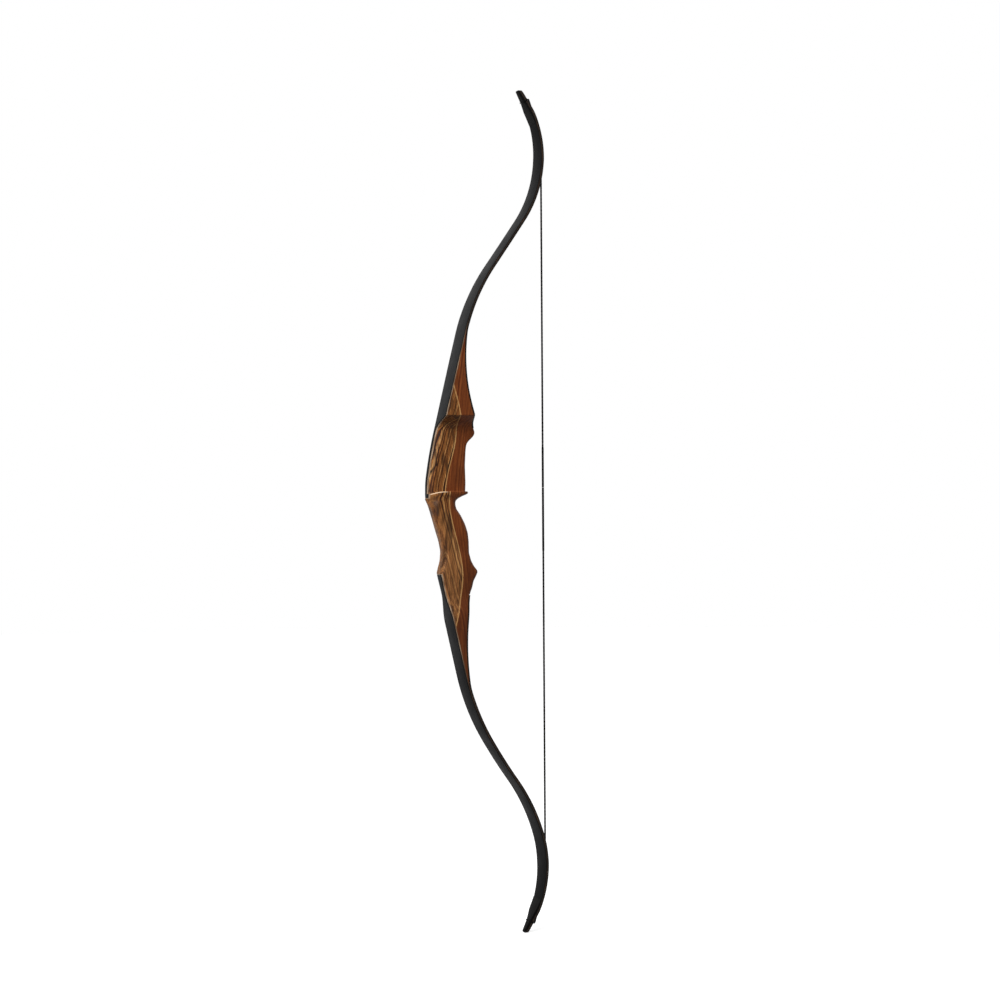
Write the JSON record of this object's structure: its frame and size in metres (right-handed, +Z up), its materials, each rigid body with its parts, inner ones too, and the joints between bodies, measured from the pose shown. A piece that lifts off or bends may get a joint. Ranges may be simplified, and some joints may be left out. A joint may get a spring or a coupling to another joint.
{
  "type": "recurve bow",
  "caption": "Braced one-piece recurve bow: laminated wooden riser with arrow shelf and sight window, black glass limbs with recurved tips, looped string that draws.",
  "frame": {"origin": "throat of the grip, where the web of the hand rests, in the middle plane of the bow", "axes": "+X toward the archer, +Y to the archer's right, +Z up the bow to the upper tip; braced and at rest"},
  "size_m": [0.2167, 0.043, 1.4596],
  "materials": {
    "limb_glass": "black glass fibre, satin",
    "limb_core": "brown core lamination, satin",
    "striped_wood": "striped brown hardwood, satin",
    "pale_wood": "pale hardwood, satin",
    "red_wood": "reddish hardwood, satin",
    "tip_black": "black overlay, satin",
    "string_thread": "black twisted and served thread"
  },
  "bodies": {
    "riser": {"riser_back_block": "striped_wood", "riser_accent_stripe": "pale_wood", "riser_belly_block": "red_wood", "upper_back_glass_root": "limb_glass", "upper_back_core_root": "limb_core", "upper_belly_core_root": "limb_core", "upper_belly_glass_root": "limb_glass", "lower_back_glass_root": "limb_glass", "lower_back_core_root": "limb_core", "lower_belly_core_root": "limb_core", "lower_belly_glass_root": "limb_glass"},
    "upper_limb_inner": {"upper_back_glass_inner": "limb_glass", "upper_back_core_inner": "limb_core", "upper_belly_core_inner": "limb_core", "upper_belly_glass_inner": "limb_glass"},
    "upper_limb_middle": {"upper_back_glass_middle": "limb_glass", "upper_back_core_middle": "limb_core", "upper_belly_core_middle": "limb_core", "upper_belly_glass_middle": "limb_glass"},
    "upper_limb_outer": {"upper_back_glass_outer": "limb_glass", "upper_back_core_outer": "limb_core", "upper_belly_core_outer": "limb_core", "upper_belly_glass_outer": "limb_glass", "upper_tip_overlay": "tip_black", "upper_nock_loop": "string_thread"},
    "upper_string_legs": {"upper_loop_legs": "string_thread"},
    "upper_string_served": {"upper_loop_serving": "string_thread"},
    "upper_string_main": {"upper_string": "string_thread", "upper_centre_serving": "string_thread"},
    "lower_limb_inner": {"lower_back_glass_inner": "limb_glass", "lower_back_core_inner": "limb_core", "lower_belly_core_inner": "limb_core", "lower_belly_glass_inner": "limb_glass"},
    "lower_limb_middle": {"lower_back_glass_middle": "limb_glass", "lower_back_core_middle": "limb_core", "lower_belly_core_middle": "limb_core", "lower_belly_glass_middle": "limb_glass"},
    "lower_limb_outer": {"lower_back_glass_outer": "limb_glass", "lower_back_core_outer": "limb_core", "lower_belly_core_outer": "limb_core", "lower_belly_glass_outer": "limb_glass", "lower_tip_overlay": "tip_black", "lower_nock_loop": "string_thread"},
    "lower_string_legs": {"lower_loop_legs": "string_thread"},
    "lower_string_served": {"lower_loop_serving": "string_thread"},
    "lower_string_main": {"lower_string": "string_thread", "lower_centre_serving": "string_thread"}
  },
  "joints": [
    {"name": "draw", "type": "hinge", "parent": "riser", "child": "upper_limb_inner", "pos_m": [0.02731, 0, 0.33397], "axis": [0, 1, 0], "range_deg": [0, 12.43], "stiffness_Nm_per_rad": 1850},
    {"name": "upper_bend_middle", "type": "hinge", "parent": "upper_limb_inner", "child": "upper_limb_middle", "pos_m": [0.06735, 0, 0.40797], "axis": [0, 1, 0], "range_deg": [0, 12.5]},
    {"name": "upper_bend_outer", "type": "hinge", "parent": "upper_limb_middle", "child": "upper_limb_outer", "pos_m": [0.11621, 0, 0.47756], "axis": [0, 1, 0], "range_deg": [0, 12.5]},
    {"name": "upper_loop_turn", "type": "hinge", "parent": "upper_limb_outer", "child": "upper_string_legs", "pos_m": [0.13945, 0, 0.70055], "axis": [0, -1, 0], "range_deg": [0, 44.4]},
    {"name": "upper_served_turn", "type": "hinge", "parent": "upper_string_legs", "child": "upper_string_served", "pos_m": [0.15679, 0, 0.66291], "axis": [0, -1, 0], "range_deg": [0, 12.9]},
    {"name": "upper_string_turn", "type": "hinge", "parent": "upper_string_served", "child": "upper_string_main", "pos_m": [0.16505, 0, 0.62361], "axis": [0, -1, 0], "range_deg": [0, 11.9], "deforming": ["upper_centre_serving"]},
    {"name": "lower_bend_inner", "type": "hinge", "parent": "riser", "child": "lower_limb_inner", "pos_m": [0.03064, 0, -0.35337], "axis": [0, -1, 0], "range_deg": [0, 11.6]},
    {"name": "lower_bend_middle", "type": "hinge", "parent": "lower_limb_inner", "child": "lower_limb_middle", "pos_m": [0.07028, 0, -0.42786], "axis": [0, -1, 0], "range_deg": [0, 11.6]},
    {"name": "lower_bend_outer", "type": "hinge", "parent": "lower_limb_middle", "child": "lower_limb_outer", "pos_m": [0.11796, 0, -0.49824], "axis": [0, -1, 0], "range_deg": [0, 11.6]},
    {"name": "lower_loop_turn", "type": "hinge", "parent": "lower_limb_outer", "child": "lower_string_legs", "pos_m": [0.14127, 0, -0.72895], "axis": [0, 1, 0], "range_deg": [0, 41]},
    {"name": "lower_served_turn", "type": "hinge", "parent": "lower_string_legs", "child": "lower_string_served", "pos_m": [0.15731, 0, -0.68909], "axis": [0, 1, 0], "range_deg": [0, 10.5]},
    {"name": "lower_string_turn", "type": "hinge", "parent": "lower_string_served", "child": "lower_string_main", "pos_m": [0.16505, 0, -0.65093], "axis": [0, 1, 0], "range_deg": [0, 11.5], "deforming": ["lower_centre_serving"]}
  ],
  "couplings": [
    {"joint": "upper_bend_middle", "follows": "draw", "ratio": 1},
    {"joint": "upper_bend_outer", "follows": "draw", "ratio": 1},
    {"joint": "upper_loop_turn", "follows": "draw", "ratio": 3.5671},
    {"joint": "upper_served_turn", "follows": "draw", "ratio": 1.0342},
    {"joint": "upper_string_turn", "follows": "draw", "ratio": 0.95512},
    {"joint": "lower_bend_inner", "follows": "draw", "ratio": 0.92511},
    {"joint": "lower_bend_middle", "follows": "draw", "ratio": 0.92511},
    {"joint": "lower_bend_outer", "follows": "draw", "ratio": 0.92511},
    {"joint": "lower_loop_turn", "follows": "draw", "ratio": 3.2952},
    {"joint": "lower_served_turn", "follows": "draw", "ratio": 0.84005},
    {"joint": "lower_string_turn", "follows": "draw", "ratio": 0.92259}
  ]
}
